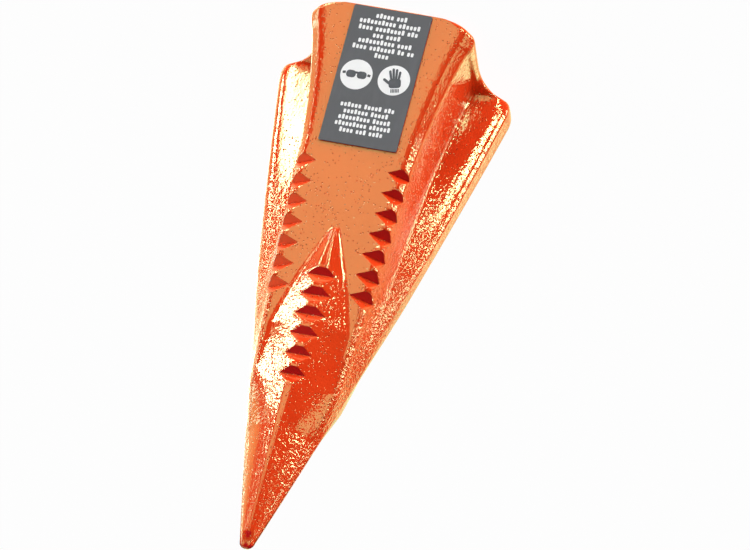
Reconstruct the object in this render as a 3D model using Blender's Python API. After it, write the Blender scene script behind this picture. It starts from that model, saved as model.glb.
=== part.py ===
"""Forged splitting wedge: one steel forging with four lobes, and a self-adhesive label on its front face.

The wedge stands on its striking face, point up. The origin is the centre of the striking face,
+Z runs to the point and the labelled face looks along -Y. Lengths are metres.
"""

import math

import bmesh
import bpy
from mathutils import Matrix, Vector

MM = 0.001

# Overall forging
LENGTH = 200.0 * MM
POINT_HALF = 2.1 * MM          # half width of the blunt point
NOSE_LENGTH = 5.0 * MM         # the small bevels that end the front and back ridges
NOSE_HALF = 0.9 * MM
HEAD_EDGE = 0.8 * MM           # rounded front and back rim of the striking face
CROWN_DROP = 4.4 * MM          # how far the striking face curves down to its left and right sides
CROWN_FLAT = 0.36              # share of the width that stays flat
CROWN_CURVE = 2.2              # 2 is an ellipse, more is squarer

# Left and right wings, in the forging's parting plane
WING_SPREAD = 0.247            # growth of the half span for each unit of length
WING_BOW = 0.00022 / MM        # how much that growth eases off towards the head
WING_SHOULDER = 15.0 * MM      # height of the sloping shoulder below the striking face
WING_ROOT_HALF = 6.6 * MM      # half thickness where the wing leaves the flute
WING_RIM_HALF = 5.6 * MM       # half thickness at the outer corner, near the head
WING_START = 62.0 * MM         # distance from the point where the wings begin
WING_FULL = 112.0 * MM

# Front and back lobes
FACE_HALF_DEPTH = 35.8 * MM    # from the axis to the flat face, at the striking face
FACE_TAPER = 0.195             # slope of the flat face
FACE_FLAT_LENGTH = 52.0 * MM   # the label's stretch, dead flat
FACE_BOW = 0.00038 / MM        # extra fall of the face beyond the flat stretch
LOBE_FOOT = 15.7 * MM          # half width of the lobe where it runs into the wing's edge
LOBE_FOOT_AT = 67.0 * MM
LOBE_SPREAD = 0.047
LOBE_FLARE = 0.0023 / MM
LOBE_FLARE_AT = 140.0 * MM
LOBE_DRAFT = 3.0 * MM          # how much wider the lobe is at its root than at its face
ROOT_FLARE = 0.35              # share of the face's flare that the lobe's root follows
HEAD_SIDE_HALF = 27.4 * MM     # half width of the striking face
SHOULDER_END = 3.5 * MM        # the shoulder ends this far below the top
CORNER_IN = 3.5 * MM           # chamfer of the lobe's long corners: across the face, at the head
CORNER_IN_LOW = 0.8 * MM       # and where it starts
CORNER_OUT = 4.6 * MM          # the same chamfer down the lobe's side
CORNER_OUT_LOW = 1.1 * MM
CORNER_LOW_AT = 118.0 * MM

# Ridge of the diamond point
RIDGE_SPREAD = 0.240
RIDGE_BOW = 0.00070 / MM
RIDGE_END = 119.0 * MM         # distance from the point where the ridge sinks into the face
RIDGE_FLAT = 0.25 * MM         # half width of the crest at the point
RIDGE_FLAT_SPREAD = 0.0165
FLANK_CREST = 0.56             # share of the flank's width where it breaks
FLANK_BULGE = 0.095            # how far the break stands proud, against that width
RIDGE_ROOT_SPREAD = 0.325      # how fast the ridge widens below its end

# Barbs: V notches across the ridge and across the lobe's two long corners
CORNER_PITCH = 7.45 * MM
RIDGE_PITCH = 7.58 * MM
# Each notch: its depth, then how far its steep wall and its shallow wall run along the face.
RIDGE_NOTCH = (1.75 * MM, 2.4 * MM, 3.5 * MM)
CORNER_NOTCH = (2.35 * MM, 2.6 * MM, 3.3 * MM)
CUTTER_RISE = 5.0 * MM
CORNER_NOTCHES = 7
CORNER_NOTCH_FIRST = 97.0 * MM
CORNER_NOTCH_TILT = math.radians(28.0)
CORNER_NOTCH_REACH = 6.6 * MM  # how far a notch runs in from the corner across the face
RIDGE_NOTCHES = 6
RIDGE_NOTCH_FIRST = 62.8 * MM

# Label
LABEL_WIDTH = 27.5 * MM
LABEL_HEIGHT = 51.0 * MM
LABEL_THICK = 0.25 * MM
LABEL_GAP = 0.30 * MM
LABEL_CORNER = 0.3 * MM

STATION_STEP = 4.4 * MM
BEND_POINTS = 4


def clamp(value, low=0.0, high=1.0):
    return max(low, min(high, value))


def ease(start, end, value):
    """0 before start, 1 after end, smooth between."""
    t = clamp((value - start) / (end - start))
    return t * t * (3 - 2 * t)


def mix(a, b, t):
    return a + (b - a) * t


def lerp(p, q, t):
    return (mix(p[0], q[0], t), mix(p[1], q[1], t))


def wing_span(d):
    """Half span of the wings at distance d from the point, before the shoulder."""
    return POINT_HALF + WING_SPREAD * d - WING_BOW * d * d


def face_depth(d):
    """Distance of the lobe's flat face from the axis."""
    below = LENGTH - d
    fall = max(0.0, below - FACE_FLAT_LENGTH)
    return FACE_HALF_DEPTH - FACE_TAPER * below - FACE_BOW * fall * fall


def ridge_depth(d):
    """Distance of the ridge's crest from the axis."""
    crest = POINT_HALF + RIDGE_SPREAD * d - RIDGE_BOW * d * d
    nose = NOSE_HALF + (crest - NOSE_HALF) * clamp(d / NOSE_LENGTH)
    return min(crest, nose)


def lobe_half(d, flared=1.0):
    """Half width of the lobe at its face. flared is the share of its spreading towards the head."""
    beyond = max(0.0, d - LOBE_FLARE_AT)
    wide = LOBE_FOOT + LOBE_SPREAD * (d - LOBE_FOOT_AT) + flared * LOBE_FLARE * beyond * beyond
    return min(wide, wing_span(d) * 0.94)


def wing_shoulder(d):
    """How far the outer edge has turned in from the wing to the lobe: a rounded corner, then a slope."""
    t = clamp((d - (LENGTH - WING_SHOULDER)) / (WING_SHOULDER - SHOULDER_END))
    corner = 1.0 - math.sqrt(1.0 - min(t / 0.6, 1.0) ** 2)
    return clamp(0.24 * corner + 0.76 * clamp((t - 0.5) / 0.5))


def flank_break(a, c):
    """Where the low ridge's flank, from crest corner a to edge c, turns steeper."""
    chord = math.dist(a, c)
    middle = lerp(a, c, FLANK_CREST)
    bulge = FLANK_BULGE
    return middle[0] + bulge * (a[1] - c[1]), middle[1] + bulge * (c[0] - a[0]), chord


def quarter_outline(d):
    """Corners of a quarter of the section, front centre to wing, each with its bend lengths."""
    span = wing_span(d)
    shoulder = wing_shoulder(d)
    grown = ease(WING_START, WING_FULL, d)
    half = lobe_half(d)
    root = lobe_half(d, ROOT_FLARE) + LOBE_DRAFT * grown
    fading = 1.0 - 0.75 * ease(RIDGE_END - 22.0 * MM, RIDGE_END, d)
    crest_half = (RIDGE_FLAT + RIDGE_FLAT_SPREAD * d) * fading
    crest = ridge_depth(d) if d < RIDGE_END else face_depth(d)
    crest = max(crest, face_depth(d))
    edge = mix(POINT_HALF * 0.45, 1.4 * MM, ease(0.0, 40.0 * MM, d))
    face = max(face_depth(d), edge)
    headward = clamp((d - CORNER_LOW_AT) / (LENGTH - CORNER_LOW_AT)) ** 0.8
    leg_in = mix(CORNER_IN_LOW, CORNER_IN, headward)
    leg_out = mix(CORNER_OUT_LOW, CORNER_OUT, headward)

    a = (crest_half, crest)
    c = (half, face)
    along = clamp(RIDGE_ROOT_SPREAD * (RIDGE_END - d), 0.0, half) + crest_half + 0.7 * MM
    strip = (min(along, half - leg_in - 1.6 * MM), face)
    break_x, break_y, chord = flank_break(a, c)
    b = lerp((break_x, break_y), strip, ease(46.0 * MM, 82.0 * MM, d))

    outer = mix(span, HEAD_SIDE_HALF, shoulder)
    h = (outer, 0.0)
    valley = (root, WING_ROOT_HALF)
    rim = (outer, mix(WING_RIM_HALF * 0.6, WING_RIM_HALF, ease(WING_FULL, LENGTH, d)))
    present = grown * (1.0 - shoulder)
    e = lerp(lerp(c, h, 0.55), valley, present)
    f = lerp(lerp(c, h, 0.80), rim, present)
    c_in = lerp(c, b, leg_in / math.dist(b, c))
    c_out = lerp(c, e, leg_out / math.dist(c, e))

    low = ease(82.0 * MM, 50.0 * MM, d)
    b_reach = mix(1.6 * MM, 0.45 * chord, low)
    bends = [
        (a, (0.45 * MM, 0.45 * MM)),
        (b, (b_reach, b_reach)),
        (c_in, (mix(0.7, 3.4, headward) * MM, mix(0.4, 1.8, headward) * MM)),
        (c_out, (mix(0.5, 1.2, headward) * MM, mix(0.7, 1.8, headward) * MM)),
        (e, (mix(4.0, 2.4, grown) * MM, mix(3.2, 1.6, grown) * MM)),
        (f, (mix(3.0, 6.0, grown) * MM, mix(3.0, 5.0, grown) * MM)),
    ]
    return (0.0, crest), bends, h


def bend(before, corner, after, lengths, count):
    """Points that round a corner off, as a curve from one side to the other."""
    start = lerp(corner, before, min(lengths[0] / math.dist(before, corner), 0.45))
    end = lerp(corner, after, min(lengths[1] / math.dist(corner, after), 0.48))
    points = []
    for i in range(count):
        t = i / (count - 1)
        points.append(lerp(lerp(start, corner, t), lerp(corner, end, t), t))
    return points


def quarter_points(d):
    first, bends, last = quarter_outline(d)
    corners = [first] + [corner for corner, _ in bends] + [last]
    points = [first]
    for i, (corner, lengths) in enumerate(bends, start=1):
        points += bend(corners[i - 1], corner, corners[i + 1], lengths, BEND_POINTS)
    return points + [last]


def section(d):
    """The whole closed section at distance d from the point, anticlockwise seen from the point."""
    quarter = quarter_points(d)
    right_front = [(x, -y) for x, y in quarter]
    right_back = [(x, y) for x, y in reversed(quarter[:-1])]
    left_back = [(-x, y) for x, y in quarter[1:]]
    left_front = [(-x, -y) for x, y in reversed(quarter[1:-1])]
    return right_front + right_back + left_back + left_front


def stations():
    """Distances from the point at which the section is drawn."""
    fine = [0.0, 1.2 * MM, 3.0 * MM, NOSE_LENGTH, 9.0 * MM]
    count = round((LENGTH - WING_SHOULDER - fine[-1]) / STATION_STEP)
    step = (LENGTH - WING_SHOULDER - fine[-1]) / count
    body = [fine[-1] + step * i for i in range(1, count + 1)]
    room = WING_SHOULDER - CROWN_DROP
    top = [LENGTH - CROWN_DROP - room * t for t in (0.72, 0.48, 0.34, 0.2, 0.1, 0.0)]
    crown = [LENGTH - CROWN_DROP * t for t in (0.8, 0.6, 0.42, 0.27, 0.13)]
    return fine + body + top + crown + [LENGTH - HEAD_EDGE * 0.3, LENGTH]


def tip_scale(d):
    """The point is rounded over in its last millimetre."""
    return mix(0.55, 1.0, math.sqrt(clamp(d / (1.2 * MM))))


def head_scale(d):
    """Width and depth factors that curve the striking face over at its rim."""
    side = clamp((d - (LENGTH - CROWN_DROP)) / CROWN_DROP)
    front = clamp((d - (LENGTH - HEAD_EDGE)) / HEAD_EDGE)
    width = mix(CROWN_FLAT, 1.0, (1.0 - side**CROWN_CURVE) ** (1.0 / CROWN_CURVE))
    depth = 1.0 - HEAD_EDGE / FACE_HALF_DEPTH * (1.0 - math.sqrt(1.0 - front * front))
    return width, depth


def link(obj, collection):
    collection.objects.link(obj)
    return obj


def mesh_object(name, mesh_data, collection):
    mesh = bpy.data.meshes.new(name)
    mesh_data.to_mesh(mesh)
    mesh_data.free()
    return link(bpy.data.objects.new(name, mesh), collection)


def loft_body(collection):
    """The forging's outline as a loft along its axis."""
    bm = bmesh.new()
    loops = []
    for d in stations():
        ring = []
        scale = tip_scale(d)
        width, depth = head_scale(d)
        for x, y in section(d):
            ring.append(bm.verts.new((x * scale * width, y * scale * depth, LENGTH - d)))
        loops.append(ring)
    for upper, lower in zip(loops, loops[1:]):
        for i in range(len(upper)):
            j = (i + 1) % len(upper)
            bm.faces.new((upper[i], lower[i], lower[j], upper[j]))
    bm.faces.new(loops[0])
    bm.faces.new(list(reversed(loops[-1])))
    bmesh.ops.recalc_face_normals(bm, faces=bm.faces)
    return mesh_object("wedge_body", bm, collection)


def notch_cutter(bm, sizes, length, place):
    """A bar along local X with its V edge down, the V's mouth at the origin and +Y towards the head."""
    depth, headward, tipward = sizes
    profile = (
        (0.0, -depth),
        (headward, 0.0),
        (headward, CUTTER_RISE),
        (-tipward, CUTTER_RISE),
        (-tipward, 0.0),
    )
    ends = []
    for x in (-length / 2, length / 2):
        ends.append([bm.verts.new(place @ Vector((x, y, z))) for y, z in profile])
    first, last = ends
    bm.faces.new(first)
    bm.faces.new(list(reversed(last)))
    for i in range(len(profile)):
        j = (i + 1) % len(profile)
        bm.faces.new((first[i], last[i], last[j], first[j]))


def frame_at(origin, axis, outward):
    """A placement whose X is along axis, Z along outward and Y towards the head."""
    x = Vector(axis).normalized()
    z = Vector(outward)
    z = (z - x * z.dot(x)).normalized()
    y = z.cross(x)
    if y.z > 0:
        x, y = -x, -y
    turned = Matrix((x, y, z)).transposed().to_4x4()
    return Matrix.Translation(origin) @ turned


def ridge_cutters(bm, side):
    """Notches across the crest of the front (side -1) or back (side 1) ridge."""
    for i in range(RIDGE_NOTCHES):
        d = RIDGE_NOTCH_FIRST + i * RIDGE_PITCH
        slope = (ridge_depth(d + MM) - ridge_depth(d - MM)) / (2 * MM)
        outward = Vector((0.0, side, slope))
        origin = Vector((0.0, side * ridge_depth(d), LENGTH - d))
        notch_cutter(bm, RIDGE_NOTCH, 40.0 * MM, frame_at(origin, (1.0, 0.0, 0.0), outward))


def corner_cutters(bm, side, hand):
    """Notches across one long corner of a lobe. hand is 1 for +X."""
    sink, rise = math.sin(CORNER_NOTCH_TILT), math.cos(CORNER_NOTCH_TILT)
    for i in range(CORNER_NOTCHES):
        d = CORNER_NOTCH_FIRST + i * CORNER_PITCH
        slope = (face_depth(d + MM) - face_depth(d - MM)) / (2 * MM)
        outward = Vector((hand * sink, side * rise, slope * rise))
        inner = Vector((hand * (lobe_half(d) - CORNER_NOTCH_REACH), side * face_depth(d), LENGTH - d))
        axis = Vector((hand * rise, -side * sink, 0.0))
        length = 24.0 * MM
        origin = inner + axis * length * 0.30
        lifted = origin + outward.normalized() * CORNER_NOTCH[0]
        notch_cutter(bm, CORNER_NOTCH, length, frame_at(lifted, axis, outward))


def cut_barbs(body, helpers):
    bm = bmesh.new()
    for side in (-1, 1):
        ridge_cutters(bm, side)
        for hand in (-1, 1):
            corner_cutters(bm, side, hand)
    bmesh.ops.recalc_face_normals(bm, faces=bm.faces)
    tool = mesh_object("barb_cutters", bm, helpers)
    tool.hide_render = True
    tool.display_type = "WIRE"
    cut = body.modifiers.new("barbs", "BOOLEAN")
    cut.object = tool
    cut.operation = "DIFFERENCE"
    cut.solver = "MANIFOLD"


def make_label(collection):
    """A thin plate lying on the front face, its upper edge at the rim of the striking face."""
    bm = bmesh.new()
    plate = Matrix.Diagonal((LABEL_WIDTH, LABEL_THICK, LABEL_HEIGHT, 1.0))
    bmesh.ops.create_cube(bm, size=1.0, matrix=plate)
    upright = [e for e in bm.edges if abs((e.verts[0].co - e.verts[1].co).normalized().y) > 0.9]
    bmesh.ops.bevel(bm, geom=upright, offset=LABEL_CORNER, segments=3, affect="EDGES")
    label = mesh_object("safety_label", bm, collection)
    lean = math.atan(FACE_TAPER)
    rise = HEAD_EDGE * 1.2 + LABEL_HEIGHT / 2 * math.cos(lean)
    off = LABEL_GAP + LABEL_THICK / 2
    depth = FACE_HALF_DEPTH - FACE_TAPER * rise
    centre = Vector((0.0, -depth, rise)) + Vector((0.0, -math.cos(lean), math.sin(lean))) * off
    label.matrix_world = Matrix.Translation(centre) @ Matrix.Rotation(-lean, 4, "X")
    return label


def paint(name, colour, roughness, metallic=0.0):
    material = bpy.data.materials.new(name)
    material.use_nodes = True
    surface = material.node_tree.nodes["Principled BSDF"]
    surface.inputs["Base Color"].default_value = (*colour, 1.0)
    surface.inputs["Roughness"].default_value = roughness
    surface.inputs["Metallic"].default_value = metallic
    return material


def main():
    for obj in list(bpy.data.objects):
        bpy.data.objects.remove(obj)
    parts = bpy.data.collections.new("felling_wedge")
    helpers = bpy.data.collections.new("cutters")
    helpers.hide_render = True
    bpy.context.scene.collection.children.link(parts)
    bpy.context.scene.collection.children.link(helpers)

    body = loft_body(parts)
    cut_barbs(body, helpers)
    body.data.materials.append(paint("orange_enamel", (0.83, 0.16, 0.03), 0.3))
    label = make_label(parts)
    label.data.materials.append(paint("grey_vinyl", (0.12, 0.125, 0.13), 0.5))


main()
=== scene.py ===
"""Looks of the forged splitting wedge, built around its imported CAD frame. Lengths are metres."""

import math

import bmesh
import bpy
from mathutils import Matrix, Vector


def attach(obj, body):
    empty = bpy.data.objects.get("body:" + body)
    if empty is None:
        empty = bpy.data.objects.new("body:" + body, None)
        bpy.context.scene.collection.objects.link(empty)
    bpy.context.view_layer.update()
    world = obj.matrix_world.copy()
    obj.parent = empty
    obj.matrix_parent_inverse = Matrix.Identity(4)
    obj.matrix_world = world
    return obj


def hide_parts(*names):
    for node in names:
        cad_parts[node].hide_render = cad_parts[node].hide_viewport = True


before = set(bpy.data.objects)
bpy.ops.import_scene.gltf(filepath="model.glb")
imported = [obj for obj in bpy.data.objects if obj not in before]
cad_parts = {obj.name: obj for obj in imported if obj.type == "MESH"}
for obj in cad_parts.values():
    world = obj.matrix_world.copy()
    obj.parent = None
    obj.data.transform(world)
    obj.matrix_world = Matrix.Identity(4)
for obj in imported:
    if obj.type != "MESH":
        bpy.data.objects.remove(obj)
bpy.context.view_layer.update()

MM = 0.001

# ---------------------------------------------------------------- forging, as in the CAD
LENGTH = 200.0 * MM
POINT_HALF = 2.1 * MM
NOSE_LENGTH = 5.0 * MM
NOSE_HALF = 0.9 * MM
HEAD_EDGE = 0.8 * MM
CROWN_DROP = 4.4 * MM
CROWN_FLAT = 0.36
CROWN_CURVE = 2.2              # 2 is an ellipse, more is squarer

WING_SPREAD = 0.247
WING_BOW = 0.00022 / MM
WING_SHOULDER = 15.0 * MM
WING_ROOT_HALF = 6.6 * MM
WING_RIM_HALF = 5.6 * MM
WING_START = 62.0 * MM
WING_FULL = 112.0 * MM

FACE_HALF_DEPTH = 35.8 * MM
FACE_TAPER = 0.195
FACE_FLAT_LENGTH = 52.0 * MM
FACE_BOW = 0.00038 / MM
LOBE_FOOT = 15.7 * MM
LOBE_FOOT_AT = 67.0 * MM
LOBE_SPREAD = 0.047
LOBE_FLARE = 0.0023 / MM
LOBE_FLARE_AT = 140.0 * MM
LOBE_DRAFT = 3.0 * MM
ROOT_FLARE = 0.35
HEAD_SIDE_HALF = 27.4 * MM
SHOULDER_END = 3.5 * MM
CORNER_IN = 3.5 * MM
CORNER_IN_LOW = 0.8 * MM
CORNER_OUT = 4.6 * MM
CORNER_OUT_LOW = 1.1 * MM
CORNER_LOW_AT = 118.0 * MM

RIDGE_SPREAD = 0.240
RIDGE_BOW = 0.00070 / MM
RIDGE_END = 119.0 * MM
RIDGE_FLAT = 0.25 * MM
RIDGE_FLAT_SPREAD = 0.0165
FLANK_CREST = 0.56
FLANK_BULGE = 0.095
RIDGE_ROOT_SPREAD = 0.325

CORNER_PITCH = 7.45 * MM
RIDGE_PITCH = 7.58 * MM
RIDGE_NOTCH = (1.75 * MM, 2.4 * MM, 3.5 * MM)
CORNER_NOTCH = (2.35 * MM, 2.6 * MM, 3.3 * MM)
CUTTER_RISE = 5.0 * MM
CORNER_NOTCHES = 7
CORNER_NOTCH_FIRST = 97.0 * MM
CORNER_NOTCH_TILT = math.radians(28.0)
CORNER_NOTCH_REACH = 6.6 * MM
RIDGE_NOTCHES = 6
RIDGE_NOTCH_FIRST = 62.8 * MM

LABEL_WIDTH = 27.5 * MM
LABEL_HEIGHT = 51.0 * MM

# ---------------------------------------------------------------- how finely the forging is drawn
BEND_POINTS = 9
STATION_STEP = 1.0 * MM
SHOULDER_STEPS = 20
CROWN_STEPS = 12
STRAIGHTS = (2, 8, 10, 3, 9, 6, 4)  # divisions of each straight run, from the crest to the wing
SHARP_ANGLE = math.radians(32.0)

# ---------------------------------------------------------------- paint
# How rough the skin is, as a share of the wings' roughness.
FLAT_GRAIN = 0.12
RIDGE_GRAIN = 0.22
FLUTE_GRAIN = 0.8
WING_TOP_GRAIN = 0.40
HEAD_GRAIN = 0.35
LEAST_GRAIN = 0.05
SKIN_HEIGHT = 0.32 * MM
CUT_SKIN_HEIGHT = 0.05 * MM
EDGE_RADIUS = 0.30 * MM

# Texture sizes, in repeats for each metre.
TONE_SCALE = 55.0
PATCH_SCALE = 90.0
PIT_SCALE = 1150.0
SKIN_SCALE = 1100.0
FLOW_SCALE = 1000.0
WAVE_SCALE = 160.0
WAVE_HEIGHT = 0.4
PIT_HEIGHT = -0.6

# Each paint: its deeper colour, its brighter colour and its roughness.
SKIN_PAINT = ((0.78, 0.046, 0.008), (0.82, 0.056, 0.010), 0.045)
# Barb walls facing the tip: the plain orange enamel darkened to crimson, as painted shade where little
# light reaches.
BARB_SHADE_PAINT = ((0.66, 0.004, 0.010), (0.74, 0.006, 0.013), 0.20)
# Barb walls on the lit corner: the same paint made lighter orange, as painted light.
LIT_BARB_PAINT = ((0.88, 0.060, 0.012), (0.94, 0.074, 0.016), 0.3)
LIT_BARB_SPECULAR = 0.3
PIT_COLOUR = (0.30, 0.012, 0.006)
MIRROR_TINT = (0.57, 1.0, 0.36)  # turns weak reflections over the red paint golden
# Picks out the barb walls that get the painted light.
LIT_SIDE = 10.0 * MM * 10.0 * MM  # a cutter face whose -x * y is above this is on a lit corner
# Facets of the point that face the tip get the barbs' painted shade as well.
NOSE_FACING = 0.45  # how squarely a facet of the point faces +Z before it is the barbs' red


def clamp(value, low=0.0, high=1.0):
    return max(low, min(high, value))


def ease(start, end, value):
    t = clamp((value - start) / (end - start))
    return t * t * (3 - 2 * t)


def mix(a, b, t):
    return a + (b - a) * t


def lerp(p, q, t):
    return (mix(p[0], q[0], t), mix(p[1], q[1], t))


def wing_span(d):
    """Half span of the wings at distance d from the point, before the shoulder."""
    return POINT_HALF + WING_SPREAD * d - WING_BOW * d * d


def face_depth(d):
    """Distance of the lobe's flat face from the axis."""
    below = LENGTH - d
    fall = max(0.0, below - FACE_FLAT_LENGTH)
    return FACE_HALF_DEPTH - FACE_TAPER * below - FACE_BOW * fall * fall


def ridge_depth(d):
    crest = POINT_HALF + RIDGE_SPREAD * d - RIDGE_BOW * d * d
    nose = NOSE_HALF + (crest - NOSE_HALF) * clamp(d / NOSE_LENGTH)
    return min(crest, nose)


def lobe_half(d, flared=1.0):
    """Half width of the lobe at its face. flared is the share of its spreading towards the head."""
    beyond = max(0.0, d - LOBE_FLARE_AT)
    wide = LOBE_FOOT + LOBE_SPREAD * (d - LOBE_FOOT_AT) + flared * LOBE_FLARE * beyond * beyond
    return min(wide, wing_span(d) * 0.94)


def wing_shoulder(d):
    """How far the outer edge has turned in from the wing to the lobe: a round, then a slope."""
    t = clamp((d - (LENGTH - WING_SHOULDER)) / (WING_SHOULDER - SHOULDER_END))
    corner = 1.0 - math.sqrt(1.0 - min(t / 0.6, 1.0) ** 2)
    return clamp(0.24 * corner + 0.76 * clamp((t - 0.5) / 0.5))


def flank_break(a, c):
    """Where the low ridge's flank, from crest corner a to edge c, turns steeper."""
    chord = math.dist(a, c)
    middle = lerp(a, c, FLANK_CREST)
    bulge = FLANK_BULGE * chord
    return middle[0] + bulge * (a[1] - c[1]) / chord, middle[1] + bulge * (c[0] - a[0]) / chord


def quarter_outline(d):
    """Corners of a quarter of the section, front centre to wing, each with its bend lengths."""
    span = wing_span(d)
    shoulder = wing_shoulder(d)
    grown = ease(WING_START, WING_FULL, d)
    half = lobe_half(d)
    root = lobe_half(d, ROOT_FLARE) + LOBE_DRAFT * grown
    fading = 1.0 - 0.75 * ease(RIDGE_END - 22.0 * MM, RIDGE_END, d)
    crest_half = (RIDGE_FLAT + RIDGE_FLAT_SPREAD * d) * fading
    crest = ridge_depth(d) if d < RIDGE_END else face_depth(d)
    crest = max(crest, face_depth(d))
    edge = mix(POINT_HALF * 0.45, 1.4 * MM, ease(0.0, 40.0 * MM, d))
    face = max(face_depth(d), edge)

    a = (crest_half, crest)
    headward = clamp((d - CORNER_LOW_AT) / (LENGTH - CORNER_LOW_AT)) ** 0.8
    leg_in = mix(CORNER_IN_LOW, CORNER_IN, headward)
    leg_out = mix(CORNER_OUT_LOW, CORNER_OUT, headward)
    c = (half, face)
    along = clamp(RIDGE_ROOT_SPREAD * (RIDGE_END - d), 0.0, half) + crest_half + 0.7 * MM
    strip = (min(along, half - leg_in - 1.6 * MM), face)
    b = lerp(flank_break(a, c), strip, ease(46.0 * MM, 82.0 * MM, d))

    outer = mix(span, HEAD_SIDE_HALF, shoulder)
    h = (outer, 0.0)
    valley = (root, WING_ROOT_HALF)
    rim = (outer, mix(WING_RIM_HALF * 0.6, WING_RIM_HALF, ease(WING_FULL, LENGTH, d)))
    present = grown * (1.0 - shoulder)
    e = lerp(lerp(c, h, 0.55), valley, present)
    f = lerp(lerp(c, h, 0.80), rim, present)
    c_in = lerp(c, b, leg_in / math.dist(b, c))
    c_out = lerp(c, e, leg_out / math.dist(c, e))

    a_bend = (0.45 * MM, 0.45 * MM)
    low = ease(82.0 * MM, 50.0 * MM, d)
    b_reach = mix(1.6 * MM, 0.45 * math.dist(a, c), low)
    b_bend = (b_reach, b_reach)
    c_in_bend = (mix(0.7, 3.4, headward) * MM, mix(0.4, 1.8, headward) * MM)
    c_out_bend = (mix(0.5, 1.2, headward) * MM, mix(0.7, 1.8, headward) * MM)
    e_bend = (mix(4.0, 2.4, grown) * MM, mix(3.2, 1.6, grown) * MM)
    f_bend = (mix(3.0, 6.0, grown) * MM, mix(3.0, 5.0, grown) * MM)
    bends = [
        (a, a_bend),
        (b, b_bend),
        (c_in, c_in_bend),
        (c_out, c_out_bend),
        (e, e_bend),
        (f, f_bend),
    ]
    return (0.0, crest), bends, h


def bend(before, corner, after, lengths, count):
    """Points that round a corner off, as a curve from one side to the other."""
    start = lerp(corner, before, min(lengths[0] / math.dist(before, corner), 0.45))
    end = lerp(corner, after, min(lengths[1] / math.dist(corner, after), 0.48))
    points = []
    for i in range(count):
        t = i / (count - 1)
        points.append(lerp(lerp(start, corner, t), lerp(corner, end, t), t))
    return points


def quarter_grain(d):
    """How rough the skin is at each point of quarter_points: the crest and the flats are smoother."""
    on_ridge = ease(RIDGE_END + 2.0 * MM, RIDGE_END - 6.0 * MM, d)
    flank = mix(FLAT_GRAIN, RIDGE_GRAIN, on_ridge)
    low_flank = ease(82.0 * MM, 50.0 * MM, d)
    strip = mix(FLAT_GRAIN, RIDGE_GRAIN, low_flank)
    wing = mix(1.0, WING_TOP_GRAIN, ease(128.0 * MM, 165.0 * MM, d))
    run_grain = (FLAT_GRAIN, flank, strip, FLUTE_GRAIN, FLUTE_GRAIN, wing, wing)
    grains = [FLAT_GRAIN]
    for i, parts in enumerate(STRAIGHTS):
        points = (parts - 1) if i == 0 else BEND_POINTS + parts - 1
        grains += [run_grain[i]] * points
    return grains + [wing]


def quarter_points(d):
    """The quarter section, with its straight runs divided as evenly at every station."""
    first, bends, last = quarter_outline(d)
    corners = [first] + [corner for corner, _ in bends] + [last]
    runs = [[first]]
    for i, (corner, lengths) in enumerate(bends, start=1):
        runs.append(bend(corners[i - 1], corner, corners[i + 1], lengths, BEND_POINTS))
    runs.append([last])
    points = []
    for run, following, parts in zip(runs, runs[1:], STRAIGHTS):
        points += run
        points += [lerp(run[-1], following[0], k / parts) for k in range(1, parts)]
    return points + [last]


def grain_ring(d):
    quarter = quarter_grain(d)
    return quarter + quarter[-2::-1] + quarter[1:] + quarter[-2:0:-1]


def section(d):
    """The whole closed section at distance d from the point."""
    quarter = quarter_points(d)
    right_front = [(x, -y) for x, y in quarter]
    right_back = [(x, y) for x, y in reversed(quarter[:-1])]
    left_back = [(-x, y) for x, y in quarter[1:]]
    left_front = [(-x, -y) for x, y in reversed(quarter[1:-1])]
    return right_front + right_back + left_back + left_front


def stations():
    """Distances from the point at which the section is drawn."""
    fine = [0.0, 0.3 * MM, 0.7 * MM, 1.2 * MM, 2.0 * MM]
    start, stop = fine[-1], LENGTH - CROWN_DROP
    shoulder = LENGTH - WING_SHOULDER
    count = round((shoulder - start) / STATION_STEP)
    body = [mix(start, shoulder, i / count) for i in range(1, count + 1)]
    body += [mix(shoulder, stop, i / SHOULDER_STEPS) for i in range(1, SHOULDER_STEPS + 1)]
    turns = [math.pi / 2 * k / CROWN_STEPS for k in range(1, CROWN_STEPS)]
    crown = [LENGTH - CROWN_DROP * math.cos(turn) for turn in turns]
    return fine + body + crown + [LENGTH]


def tip_scale(d):
    return mix(0.55, 1.0, math.sqrt(clamp(d / (1.2 * MM))))


def head_scale(d):
    side = clamp((d - (LENGTH - CROWN_DROP)) / CROWN_DROP)
    front = clamp((d - (LENGTH - HEAD_EDGE)) / HEAD_EDGE)
    width = mix(CROWN_FLAT, 1.0, (1.0 - side**CROWN_CURVE) ** (1.0 / CROWN_CURVE))
    depth = 1.0 - HEAD_EDGE / FACE_HALF_DEPTH * (1.0 - math.sqrt(1.0 - front * front))
    return width, depth


def add_object(name, mesh):
    obj = bpy.data.objects.new(name, mesh)
    bpy.context.scene.collection.objects.link(obj)
    return obj


def mesh_object(name, bm):
    mesh = bpy.data.meshes.new(name)
    bm.to_mesh(mesh)
    bm.free()
    return add_object(name, mesh)


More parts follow.
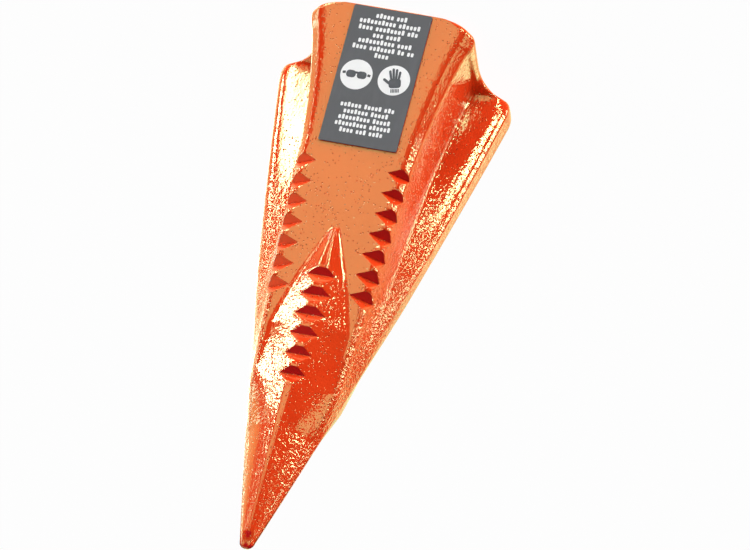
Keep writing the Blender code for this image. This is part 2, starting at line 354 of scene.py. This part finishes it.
def loft_body():
    rings = []
    for d in stations():
        scale = tip_scale(d)
        width, depth = head_scale(d)
        rings.append([(x * scale * width, y * scale * depth, LENGTH - d) for x, y in section(d)])
    count = len(rings[0])
    points = [p for ring in rings for p in ring]
    faces = []
    for r in range(len(rings) - 1):
        for i in range(count):
            j = (i + 1) % count
            low, high = r * count, (r + 1) * count
            faces.append((low + i, high + i, high + j, low + j))
    faces.append(tuple(range(count)))
    last = (len(rings) - 1) * count
    faces.append(tuple(last + i for i in reversed(range(count))))
    mesh = bpy.data.meshes.new("forged_body")
    mesh.from_pydata(points, [], faces)
    bm = bmesh.new()
    bm.from_mesh(mesh)
    bmesh.ops.recalc_face_normals(bm, faces=bm.faces)
    bm.to_mesh(mesh)
    bm.free()
    grain = mesh.attributes.new("grain", "FLOAT", "POINT")
    rough = []
    for d in stations():
        calmer = mix(1.0, HEAD_GRAIN, ease(90.0 * MM, 150.0 * MM, d))
        rough += [share * calmer for share in grain_ring(d)]
    grain.data.foreach_set("value", rough)
    return add_object("forged_body", mesh)


def notch_cutter(bm, sizes, length, place):
    """A bar along local X with its V edge down, the V's mouth at the origin and +Y towards the head."""
    depth, headward, tipward = sizes
    profile = (
        (0.0, -depth),
        (headward, 0.0),
        (headward, CUTTER_RISE),
        (-tipward, CUTTER_RISE),
        (-tipward, 0.0),
    )
    ends = []
    for x in (-length / 2, length / 2):
        ends.append([bm.verts.new(place @ Vector((x, y, z))) for y, z in profile])
    first, last = ends
    bm.faces.new(first)
    bm.faces.new(list(reversed(last)))
    for i in range(len(profile)):
        j = (i + 1) % len(profile)
        bm.faces.new((first[i], last[i], last[j], first[j]))


def frame_at(origin, axis, outward):
    """Local X along the axis, Z outward and Y towards the head."""
    x = Vector(axis).normalized()
    z = Vector(outward)
    z = (z - x * z.dot(x)).normalized()
    y = z.cross(x)
    if y.z > 0:
        x, y = -x, -y
    return Matrix.Translation(origin) @ Matrix((x, y, z)).transposed().to_4x4()


def ridge_cutters(bm, side):
    for i in range(RIDGE_NOTCHES):
        d = RIDGE_NOTCH_FIRST + i * RIDGE_PITCH
        slope = (ridge_depth(d + MM) - ridge_depth(d - MM)) / (2 * MM)
        outward = Vector((0.0, side, slope))
        origin = Vector((0.0, side * ridge_depth(d), LENGTH - d))
        notch_cutter(bm, RIDGE_NOTCH, 40.0 * MM, frame_at(origin, (1.0, 0.0, 0.0), outward))


def corner_cutters(bm, side, hand):
    sink, rise = math.sin(CORNER_NOTCH_TILT), math.cos(CORNER_NOTCH_TILT)
    for i in range(CORNER_NOTCHES):
        d = CORNER_NOTCH_FIRST + i * CORNER_PITCH
        slope = (face_depth(d + MM) - face_depth(d - MM)) / (2 * MM)
        outward = Vector((hand * sink, side * rise, slope * rise))
        inner = Vector((hand * (lobe_half(d) - CORNER_NOTCH_REACH), side * face_depth(d), LENGTH - d))
        axis = Vector((hand * rise, -side * sink, 0.0))
        length = 24.0 * MM
        origin = inner + axis * length * 0.30
        lifted = origin + outward.normalized() * CORNER_NOTCH[0]
        notch_cutter(bm, CORNER_NOTCH, length, frame_at(lifted, axis, outward))


def make_cutters():
    bm = bmesh.new()
    for side in (-1, 1):
        ridge_cutters(bm, side)
        for hand in (-1, 1):
            corner_cutters(bm, side, hand)
    bmesh.ops.recalc_face_normals(bm, faces=bm.faces)
    return mesh_object("barb_cutters", bm)


def apply_modifiers(obj):
    graph = bpy.context.evaluated_depsgraph_get()
    mesh = bpy.data.meshes.new_from_object(obj.evaluated_get(graph), depsgraph=graph)
    old = obj.data
    obj.modifiers.clear()
    obj.data = mesh
    bpy.data.meshes.remove(old)


# ---------------------------------------------------------------- node helpers
class Nodes:
    """A short way to build a node tree."""

    def __init__(self, owner, output="ShaderNodeOutputMaterial"):
        owner.use_nodes = True
        self.tree = owner.node_tree
        self.tree.nodes.clear()
        self.out = self.add(output)

    def add(self, kind, **values):
        node = self.tree.nodes.new(kind)
        for key, value in values.items():
            setattr(node, key, value)
        return node

    def put(self, socket, value):
        if hasattr(value, "is_output"):
            self.tree.links.new(value, socket)
        else:
            socket.default_value = value

    def noise(self, vector, scale, detail=4.0, roughness=0.55):
        node = self.add("ShaderNodeTexNoise")
        self.put(node.inputs["Vector"], vector)
        node.inputs["Scale"].default_value = scale
        node.inputs["Detail"].default_value = detail
        node.inputs["Roughness"].default_value = roughness
        return node.outputs["Fac"]

    def voronoi(self, vector, scale):
        node = self.add("ShaderNodeTexVoronoi", feature="F1")
        self.put(node.inputs["Vector"], vector)
        node.inputs["Scale"].default_value = scale
        return node

    def ramp(self, value, low, high, to_low=0.0, to_high=1.0):
        node = self.add("ShaderNodeMapRange", interpolation_type="SMOOTHSTEP")
        self.put(node.inputs["Value"], value)
        node.inputs["From Min"].default_value = low
        node.inputs["From Max"].default_value = high
        node.inputs["To Min"].default_value = to_low
        node.inputs["To Max"].default_value = to_high
        return node.outputs["Result"]

    def math(self, operation, a, b=0.0, c=0.0):
        node = self.add("ShaderNodeMath", operation=operation)
        self.put(node.inputs[0], a)
        self.put(node.inputs[1], b)
        self.put(node.inputs[2], c)
        return node.outputs[0]

    def blend(self, factor, a, b, mode="MIX"):
        node = self.add("ShaderNodeMix", data_type="RGBA", blend_type=mode)
        self.put(node.inputs["Factor"], factor)
        self.put(node.inputs["A"], a)
        self.put(node.inputs["B"], b)
        return node.outputs["Result"]

    def number(self, factor, a, b):
        node = self.add("ShaderNodeMix", data_type="FLOAT")
        self.put(node.inputs["Factor"], factor)
        self.put(node.inputs["A"], a)
        self.put(node.inputs["B"], b)
        return node.outputs["Result"]

    def bump(self, height, distance, strength=1.0, normal=None):
        node = self.add("ShaderNodeBump")
        self.put(node.inputs["Height"], height)
        node.inputs["Distance"].default_value = distance
        node.inputs["Strength"].default_value = strength
        if normal is not None:
            self.put(node.inputs["Normal"], normal)
        return node.outputs["Normal"]

    def stretched(self, vector, scale, turn=(0.0, 0.0, 0.0)):
        node = self.add("ShaderNodeMapping")
        self.put(node.inputs["Vector"], vector)
        node.inputs["Scale"].default_value = scale
        node.inputs["Rotation"].default_value = turn
        return node.outputs["Vector"]


def rgb(r, g, b):
    return (r, g, b, 1.0)


def enamel(name, deep, bright, roughness, grain, specks):
    """Glossy orange paint over a shot-blasted forged skin."""
    material = bpy.data.materials.new(name)
    n = Nodes(material)
    place = n.add("ShaderNodeTexCoord").outputs["Object"]
    broad = n.noise(place, TONE_SCALE, 3.0, 0.5)
    colour = n.blend(n.ramp(broad, 0.35, 0.65), rgb(*deep), rgb(*bright))
    pits = n.voronoi(place, PIT_SCALE)
    pick = n.add("ShaderNodeSeparateColor")
    n.put(pick.inputs[0], pits.outputs["Color"])
    patchy = n.noise(place, PATCH_SCALE, 3.0, 0.6)
    rarity = n.ramp(patchy, 0.35, 0.70, 0.80, 0.35)
    chosen = n.math("GREATER_THAN", pick.outputs[0], rarity)
    pit = n.math("MULTIPLY", n.ramp(pits.outputs["Distance"], 0.34, 0.10, 0.0, 0.7), chosen)
    pit = n.math("MULTIPLY", pit, specks)
    colour = n.blend(pit, colour, rgb(*PIT_COLOUR))

    mask = n.add("ShaderNodeAttribute", attribute_name="grain").outputs["Fac"]
    mask = n.math("MAXIMUM", mask, LEAST_GRAIN)
    skin = n.noise(place, SKIN_SCALE, 1.0, 0.5)
    flow = n.noise(n.stretched(place, (1.0, 1.0, 0.45), (0.0, 0.25, 0.0)), FLOW_SCALE, 1.0, 0.5)
    wave = n.noise(place, WAVE_SCALE, 2.0, 0.5)
    height = n.math("MULTIPLY", n.math("ADD", skin, flow), mask)
    height = n.math("MULTIPLY_ADD", wave, WAVE_HEIGHT, height)
    height = n.math("MULTIPLY_ADD", pit, PIT_HEIGHT, height)
    edge = n.add("ShaderNodeBevel", samples=4)
    edge.inputs["Radius"].default_value = EDGE_RADIUS
    normal = n.bump(height, grain, 1.0, edge.outputs["Normal"])

    surface = n.add("ShaderNodeBsdfPrincipled")
    n.put(surface.inputs["Base Color"], colour)
    n.put(surface.inputs["Roughness"], n.ramp(broad, 0.3, 0.7, roughness * 0.85, roughness * 1.15))
    n.put(surface.inputs["Normal"], normal)
    surface.inputs["Specular IOR Level"].default_value = 1.0
    surface.inputs["Specular Tint"].default_value = rgb(*MIRROR_TINT)
    n.put(n.out.inputs["Surface"], surface.outputs[0])
    return material


def vinyl(name, base, worn, roughness):
    """Matt sticker stock with a faint grain and scuffs."""
    material = bpy.data.materials.new(name)
    n = Nodes(material)
    place = n.add("ShaderNodeTexCoord").outputs["Object"]
    scuff = n.noise(n.stretched(place, (1.0, 1.0, 0.25), (0.3, 0.0, 0.0)), 260.0, 5.0, 0.6)
    cloud = n.noise(place, 60.0, 2.0)
    colour = n.blend(n.ramp(scuff, 0.45, 0.75, 0.0, 0.6), rgb(*base), rgb(*worn))
    colour = n.blend(n.ramp(cloud, 0.3, 0.7, 0.0, 0.25), colour, rgb(*[c * 0.85 for c in base]))
    surface = n.add("ShaderNodeBsdfPrincipled")
    surface.inputs["Specular IOR Level"].default_value = 0.15
    n.put(surface.inputs["Base Color"], colour)
    n.put(surface.inputs["Roughness"], n.ramp(scuff, 0.3, 0.7, roughness * 0.9, roughness * 1.15))
    fine = n.noise(place, 1800.0, 2.0)
    n.put(surface.inputs["Normal"], n.bump(fine, 0.02 * MM, 0.4))
    n.put(n.out.inputs["Surface"], surface.outputs[0])
    return material


# ---------------------------------------------------------------- the forging
def make_body():
    body = loft_body()
    paint = enamel("wedge_enamel", *SKIN_PAINT, SKIN_HEIGHT, 1.0)
    # The tip-facing barb walls take the crimson painted shade; walls facing the head keep the plain
    # paint.
    barb_shade_paint = enamel("barb_painted_shade_enamel", *BARB_SHADE_PAINT, CUT_SKIN_HEIGHT, 0.0)
    body.data.materials.append(paint)
    cutters = make_cutters()
    cutters.data.materials.append(barb_shade_paint)
    cutters.data.materials.append(paint)
    # A lighter copy of the barb paint, as painted light on the lit corner's walls.
    lit_paint = enamel("lit_barb_enamel", *LIT_BARB_PAINT, CUT_SKIN_HEIGHT, 0.0)
    lit_surface = lit_paint.node_tree.nodes["Principled BSDF"]
    lit_surface.inputs["Specular IOR Level"].default_value = LIT_BARB_SPECULAR
    cutters.data.materials.append(lit_paint)
    # Cutter faces that become tip-facing walls get the painted shade, those on the lit corner the
    # painted light, and head-facing ones the plain paint.
    for face in cutters.data.polygons:
        lit_side = face.center.x * face.center.y < -LIT_SIDE
        face.material_index = 2 if lit_side else 1 if face.normal.z > 0 else 0
    cut = body.modifiers.new("barbs", "BOOLEAN")
    cut.object = cutters
    cut.operation = "DIFFERENCE"
    cut.solver = "MANIFOLD"
    cut.material_mode = "TRANSFER"
    apply_modifiers(body)
    bpy.data.objects.remove(cutters)
    mesh = body.data
    mesh.polygons.foreach_set("use_smooth", [True] * len(mesh.polygons))
    mesh.set_sharp_from_angle(angle=SHARP_ANGLE)
    dark = [slot.name for slot in mesh.materials].index(barb_shade_paint.name)
    # Tip-facing facets of the point take the barbs' crimson painted shade.
    for face in mesh.polygons:
        if face.center.z > LENGTH - NOSE_LENGTH and face.normal.z > NOSE_FACING:
            face.material_index = dark
    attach(body, "root")
    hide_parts("wedge_body")
    return body


# ---------------------------------------------------------------- the label's print
LEAN = math.atan(FACE_TAPER)


def label_frame():
    """X across the label, Y up towards the head, Z out of it, from the centre of its outer face."""
    across = Vector((-1.0, 0.0, 0.0))
    up = Vector((0.0, -math.sin(LEAN), -math.cos(LEAN)))
    out = Vector((0.0, -math.cos(LEAN), math.sin(LEAN)))
    points = [v.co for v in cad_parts["safety_label"].data.vertices]
    outermost = max(p.dot(out) for p in points)
    tops = [p.dot(up) for p in points]
    middle = (max(tops) + min(tops)) / 2
    centre = out * outermost + up * middle
    turned = Matrix((across, up, out)).transposed().to_4x4()
    return Matrix.Translation(centre) @ turned


def slab(bm, outline, low, high):
    """A flat plate with this outline, anticlockwise, between two heights."""
    bottom = [bm.verts.new((x, y, low)) for x, y in outline]
    top = [bm.verts.new((x, y, high)) for x, y in outline]
    bm.faces.new(top)
    bm.faces.new(list(reversed(bottom)))
    for i in range(len(outline)):
        j = (i + 1) % len(outline)
        bm.faces.new((bottom[i], bottom[j], top[j], top[i]))


def oval(x, y, rx, ry, count=48):
    return [
        (x + rx * math.cos(2 * math.pi * i / count), y + ry * math.sin(2 * math.pi * i / count))
        for i in range(count)
    ]


def rounded_bar(x, y, width, height, radius, turn=0.0, steps=4):
    """A rounded rectangle centred on (x, y)."""
    points = []
    radius = min(radius, width / 2, height / 2)
    for cx, cy, start in (
        (width / 2 - radius, height / 2 - radius, 0.0),
        (-width / 2 + radius, height / 2 - radius, 90.0),
        (-width / 2 + radius, -height / 2 + radius, 180.0),
        (width / 2 - radius, -height / 2 + radius, 270.0),
    ):
        for k in range(steps + 1):
            angle = math.radians(start + 90.0 * k / steps)
            points.append((cx + radius * math.cos(angle), cy + radius * math.sin(angle)))
    cos, sin = math.cos(turn), math.sin(turn)
    return [(x + px * cos - py * sin, y + px * sin + py * cos) for px, py in points]


PRINT_LIFT = 0.015 * MM
PRINT_THICK = 0.03 * MM
BLOCK_WIDTH = 1.06 * MM
BLOCK_GAP = 0.24 * MM
BLOCK_HEIGHT = 1.45 * MM
LINE_PITCH = 2.42 * MM
SMALL_PITCH = 2.34 * MM
UPPER_LINES = ((5, 3), (10, 6), (4, 8, 3), (3, 4), (10, 4), (4, 7, 2, 2), (4,))
LOWER_LINES = ((6, 5, 3), (7, 5), (9, 5), (9, 6), (4, 3, 4))
UPPER_TOP = 0.0590
LOWER_TOP = 0.7205
DISC_AT = ((0.254, 0.498), (0.734, 0.496))
DISC_RADIUS = 0.202 * LABEL_WIDTH


def on_label(u, v):
    """Fractions from the label's upper left corner to its own X and Y."""
    return (u - 0.5) * LABEL_WIDTH, (0.5 - v) * LABEL_HEIGHT


def placeholder_line(bm, words, y, size):
    """A row of small plain blocks in groups, where the real label has a line of print."""
    advance = (BLOCK_WIDTH + BLOCK_GAP) * size
    space = advance * 0.62
    total = sum(words) * advance + (len(words) - 1) * space
    x = -total / 2 + advance / 2
    for w, word in enumerate(words):
        for k in range(word):
            tall = 1.25 if (k * 7 + w * 3 + word) % 4 == 0 else 1.0
            height = BLOCK_HEIGHT * size * tall
            lift = (height - BLOCK_HEIGHT * size) / 2
            width = BLOCK_WIDTH * size * 0.86
            bar = rounded_bar(x, y + lift, width, height, 0.3 * MM * size, 0.0, 3)
            slab(bm, bar, PRINT_LIFT, PRINT_LIFT + PRINT_THICK)
            x += advance
        x += space


def white_print():
    bm = bmesh.new()
    for u, v in DISC_AT:
        x, y = on_label(u, v)
        slab(bm, oval(x, y, DISC_RADIUS, DISC_RADIUS, 64), PRINT_LIFT, PRINT_LIFT + PRINT_THICK)
    for i, words in enumerate(UPPER_LINES):
        placeholder_line(bm, words, on_label(0.5, UPPER_TOP)[1] - i * LINE_PITCH, 1.0)
    for i, words in enumerate(LOWER_LINES):
        placeholder_line(bm, words, on_label(0.5, LOWER_TOP)[1] - i * SMALL_PITCH, 0.97)
    return mesh_object("label_print_white", bm)


def goggles(bm, x, y, low, high):
    """Safety goggles seen from the front: two lenses, a bridge and a strap."""
    r = DISC_RADIUS
    for hand in (-1, 1):
        slab(bm, rounded_bar(x + hand * 0.34 * r, y, 0.60 * r, 0.48 * r, 0.20 * r), low, high)
        strap_x, strap_y = x + hand * 0.78 * r, y + 0.04 * r
        strap = rounded_bar(strap_x, strap_y, 0.20 * r, 0.16 * r, 0.03 * r, -hand * 0.2)
        slab(bm, strap, low, high)
    slab(bm, rounded_bar(x, y + 0.12 * r, 0.30 * r, 0.14 * r, 0.04 * r), low, high)


def glove(bm, x, y, low, high):
    """A work glove: palm, four fingers, thumb and a ribbed cuff."""
    r = DISC_RADIUS * 1.22
    tilt = math.radians(12.0)
    cos, sin = math.cos(tilt), math.sin(tilt)

    def at(px, py):
        return x + (px * cos - py * sin) * r, y + (px * sin + py * cos) * r

    palm = at(0.05, -0.16)
    slab(bm, rounded_bar(*palm, 0.62 * r, 0.52 * r, 0.16 * r, tilt), low, high)
    for i, (px, reach) in enumerate(((-0.17, 0.50), (-0.02, 0.60), (0.13, 0.56), (0.28, 0.42))):
        middle = at(px, 0.06 + reach / 2)
        spread = tilt + math.radians(8.0 - 6.0 * i)
        slab(bm, rounded_bar(*middle, 0.125 * r, reach * r, 0.06 * r, spread), low, high)
    thumb = at(-0.36, -0.04)
    slab(bm, rounded_bar(*thumb, 0.14 * r, 0.46 * r, 0.07 * r, tilt + math.radians(48.0)), low, high)
    for k in range(6):
        rib = at(-0.13 + 0.075 * k, -0.57)
        slab(bm, rounded_bar(*rib, 0.05 * r, 0.20 * r, 0.02 * r, tilt), low, high)


def dark_print():
    bm = bmesh.new()
    low = PRINT_LIFT + PRINT_THICK + 0.01 * MM
    high = low + PRINT_THICK
    goggles(bm, *on_label(*DISC_AT[0]), low, high)
    glove(bm, *on_label(*DISC_AT[1]), low, high)
    return mesh_object("label_print_dark", bm)


def make_label():
    stock = vinyl("label_vinyl", (0.116, 0.117, 0.119), (0.142, 0.143, 0.146), 0.42)
    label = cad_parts["safety_label"]
    label.data.materials.clear()
    label.data.materials.append(stock)
    place = label_frame()
    white = white_print()
    white.data.materials.append(vinyl("print_white", (0.95, 0.95, 0.94), (0.90, 0.90, 0.89), 0.45))
    dark = dark_print()
    dark.data.materials.append(vinyl("print_dark", (0.10, 0.104, 0.108), (0.14, 0.144, 0.15), 0.45))
    for piece in (white, dark):
        piece.matrix_world = place
        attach(piece, "root")


# ---------------------------------------------------------------- stage, light and camera
CAMERA_AZIMUTH = math.radians(-15.9)
CAMERA_ELEVATION = math.radians(31.7)
CAMERA_ROLL = math.radians(18.4)
CAMERA_LENS = 1000.0
SENSOR = 36.0
FRAME_WIDTH = 251.25 * MM
AIM_ACROSS = 12.3 * MM
AIM_ALONG = 100.5 * MM


def picture_axes():
    """Directions across and up the picture, and back to the camera, before the roll."""
    phi, tau = -CAMERA_AZIMUTH, CAMERA_ELEVATION
    across = Vector((-math.cos(phi), math.sin(phi), 0.0))
    along = Vector((-math.sin(phi) * math.sin(tau), -math.cos(phi) * math.sin(tau), -math.cos(tau)))
    back = Vector((-math.sin(phi) * math.cos(tau), -math.cos(phi) * math.cos(tau), math.sin(tau)))
    return across, along, back


def make_camera():
    across, along, back = picture_axes()
    target = Vector((0.0, 0.0, LENGTH)) + across * AIM_ACROSS + along * AIM_ALONG
    cos, sin = math.cos(CAMERA_ROLL), math.sin(CAMERA_ROLL)
    right = across * cos + along * sin
    up = along * cos - across * sin
    data = bpy.data.cameras.new("camera")
    data.lens = CAMERA_LENS
    data.sensor_width = SENSOR
    distance = FRAME_WIDTH * CAMERA_LENS / SENSOR
    data.clip_start, data.clip_end = 1.0, 100.0
    camera = bpy.data.objects.new("camera", data)
    bpy.context.scene.collection.objects.link(camera)
    turned = Matrix((right, up, back)).transposed().to_4x4()
    camera.matrix_world = Matrix.Translation(target + back * distance) @ turned
    bpy.context.scene.camera = camera


# Studio panels as the paint mirrors them: name, azimuths, elevations, strength and edge softness.
# Angles are degrees seen from the wedge: azimuth from straight ahead of the label towards the right
# of the picture, elevation towards the head.
PANELS = (
    ("front_card", (-27.0, 3.0), (-14.0, 17.5), 2.6, 4.0),
    ("front_fade", (3.0, 24.0), (-14.0, 14.0), 0.2, 7.0),
    ("left_box", (-44.0, -24.0), (22.0, 44.0), 26.0, 12.0),
    ("left_flank", (-71.0, -58.0), (17.5, 25.5), 24.0, 2.0),
    ("left_low", (-76.0, -64.0), (9.0, 15.0), 3.0, 3.0),
    ("left_strip", (-112.0, -80.0), (3.0, 13.0), 7.0, 2.0),
    ("left_edge", (-118.0, -100.0), (25.0, 40.0), 6.0, 4.0),
    ("left_rear", (-158.0, -134.0), (14.0, 32.0), 5.0, 5.0),
    ("low_left", (-140.0, -55.0), (-62.0, -18.0), 1.6, 12.0),
    ("top_card", (-200.0, 200.0), (58.0, 95.0), 1.0, 12.0),
    ("right_rail", (9.0, 31.0), (22.0, 25.5), 34.0, 1.5),
    ("right_flank", (48.0, 90.0), (17.5, 22.0), 24.0, 2.0),
    ("right_strip", (50.0, 82.0), (-2.0, 8.0), 3.2, 3.0),
    ("right_high", (72.0, 98.0), (26.0, 34.0), 10.0, 3.0),
    ("right_rear", (140.0, 153.0), (5.0, 25.5), 4.0, 2.0),
)
BACKDROP = 1.3
BACKDROP_COLOUR = (0.85, 1.0, 0.50)
STRONG_COLOUR = (0.86, 1.0, 1.25)
CAMERA_WHITE = 0.985

# Soft light on the paint itself, in the same angles: azimuths and their softness, elevations and
# theirs, and the strength.
FILL = 0.36
OVERHEAD = 3.8
SOFT_FILLS = (
    ((-100.0, -30.0), 10.0, (10.0, 44.0), 10.0, 0.7),
    ((-140.0, -60.0), 20.0, (-60.0, -10.0), 20.0, 0.9),
    ((60.0, 130.0), 20.0, (0.0, 45.0), 20.0, 1.0),
)
FLOOR_GLOW = 0.97  # share of the floor that is its own light


def make_world():
    world = bpy.data.worlds.new("studio")
    bpy.context.scene.world = world
    world.cycles.sampling_method = "NONE"
    n = Nodes(world, "ShaderNodeOutputWorld")
    split = n.add("ShaderNodeSeparateXYZ")
    n.put(split.inputs[0], n.add("ShaderNodeTexCoord").outputs["Generated"])
    x, y, z = (n.math("MULTIPLY", split.outputs[i], -1.0) for i in range(3))
    azimuth = n.math("DEGREES", n.math("ARCTAN2", x, y))
    elevation = n.math("DEGREES", n.math("ARCSINE", z))

    def window(value, ends, soft):
        rise = n.ramp(value, ends[0] - soft / 2, ends[0] + soft / 2)
        fall = n.ramp(value, ends[1] + soft / 2, ends[1] - soft / 2)
        return n.math("MULTIPLY", rise, fall)

    mirrored = 0.0
    for _, across, upward, radiance, soft in PANELS:
        shape = n.math("MULTIPLY", window(azimuth, across, soft), window(elevation, upward, soft))
        mirrored = n.math("ADD", mirrored, n.math("MULTIPLY", shape, radiance))
    away = -picture_axes()[2]
    behind = n.math("MULTIPLY", split.outputs[0], away.x)
    behind = n.math("MULTIPLY_ADD", split.outputs[1], away.y, behind)
    behind = n.math("MULTIPLY_ADD", split.outputs[2], away.z, behind)
    beyond = n.ramp(behind, 0.15, 0.45)
    mirrored = n.math("MAXIMUM", mirrored, n.math("MULTIPLY", beyond, BACKDROP))

    soft = n.math("ADD", n.ramp(elevation, 15.0, 45.0, 0.0, OVERHEAD), FILL)
    for across, across_soft, upward, upward_soft, strength in SOFT_FILLS:
        wide = window(azimuth, across, across_soft)
        shape = n.math("MULTIPLY", wide, window(elevation, upward, upward_soft))
        soft = n.math("MULTIPLY_ADD", shape, strength, soft)

    path = n.add("ShaderNodeLightPath")
    strength = n.number(path.outputs["Is Diffuse Ray"], mirrored, soft)
    strength = n.number(path.outputs["Is Camera Ray"], strength, CAMERA_WHITE)
    back = n.add("ShaderNodeBackground")
    n.put(back.inputs["Strength"], strength)
    plain = n.math("MAXIMUM", path.outputs["Is Camera Ray"], path.outputs["Is Diffuse Ray"])
    shown = n.math("SUBTRACT", 1.0, plain)
    far = n.math("MULTIPLY", beyond, shown)
    warm = n.blend(far, rgb(1.0, 1.0, 1.0), rgb(*BACKDROP_COLOUR))
    strong = n.math("MULTIPLY", n.ramp(mirrored, 2.6, 9.0), shown)
    n.put(back.inputs["Color"], n.blend(strong, warm, rgb(*STRONG_COLOUR)))
    n.put(n.out.inputs["Surface"], back.outputs[0])


def make_floor():
    bm = bmesh.new()
    bmesh.ops.create_circle(bm, cap_ends=True, segments=96, radius=6.0)
    floor = mesh_object("floor", bm)
    floor.location.z = -0.4 * MM
    material = bpy.data.materials.new("floor")
    n = Nodes(material)
    place = n.add("ShaderNodeTexCoord").outputs["Object"]
    tone = n.ramp(n.noise(place, 3.0, 2.0), 0.3, 0.7, 0.88, 0.92)
    grey = n.add("ShaderNodeCombineColor")
    for socket in ("Red", "Green", "Blue"):
        n.put(grey.inputs[socket], tone)
    diffuse = n.add("ShaderNodeBsdfDiffuse")
    n.put(diffuse.inputs["Color"], grey.outputs[0])
    glow = n.add("ShaderNodeEmission")
    glow.inputs["Strength"].default_value = 1.0
    join = n.add("ShaderNodeMixShader")
    join.inputs[0].default_value = FLOOR_GLOW
    n.put(join.inputs[1], diffuse.outputs[0])
    n.put(join.inputs[2], glow.outputs[0])
    n.put(n.out.inputs["Surface"], join.outputs[0])
    floor.data.materials.append(material)
    floor.visible_diffuse = False
    floor.visible_glossy = False
    floor.visible_shadow = False


make_body()
make_label()
make_floor()
make_world()
make_camera()
bpy.context.scene.view_settings.view_transform = "Standard"
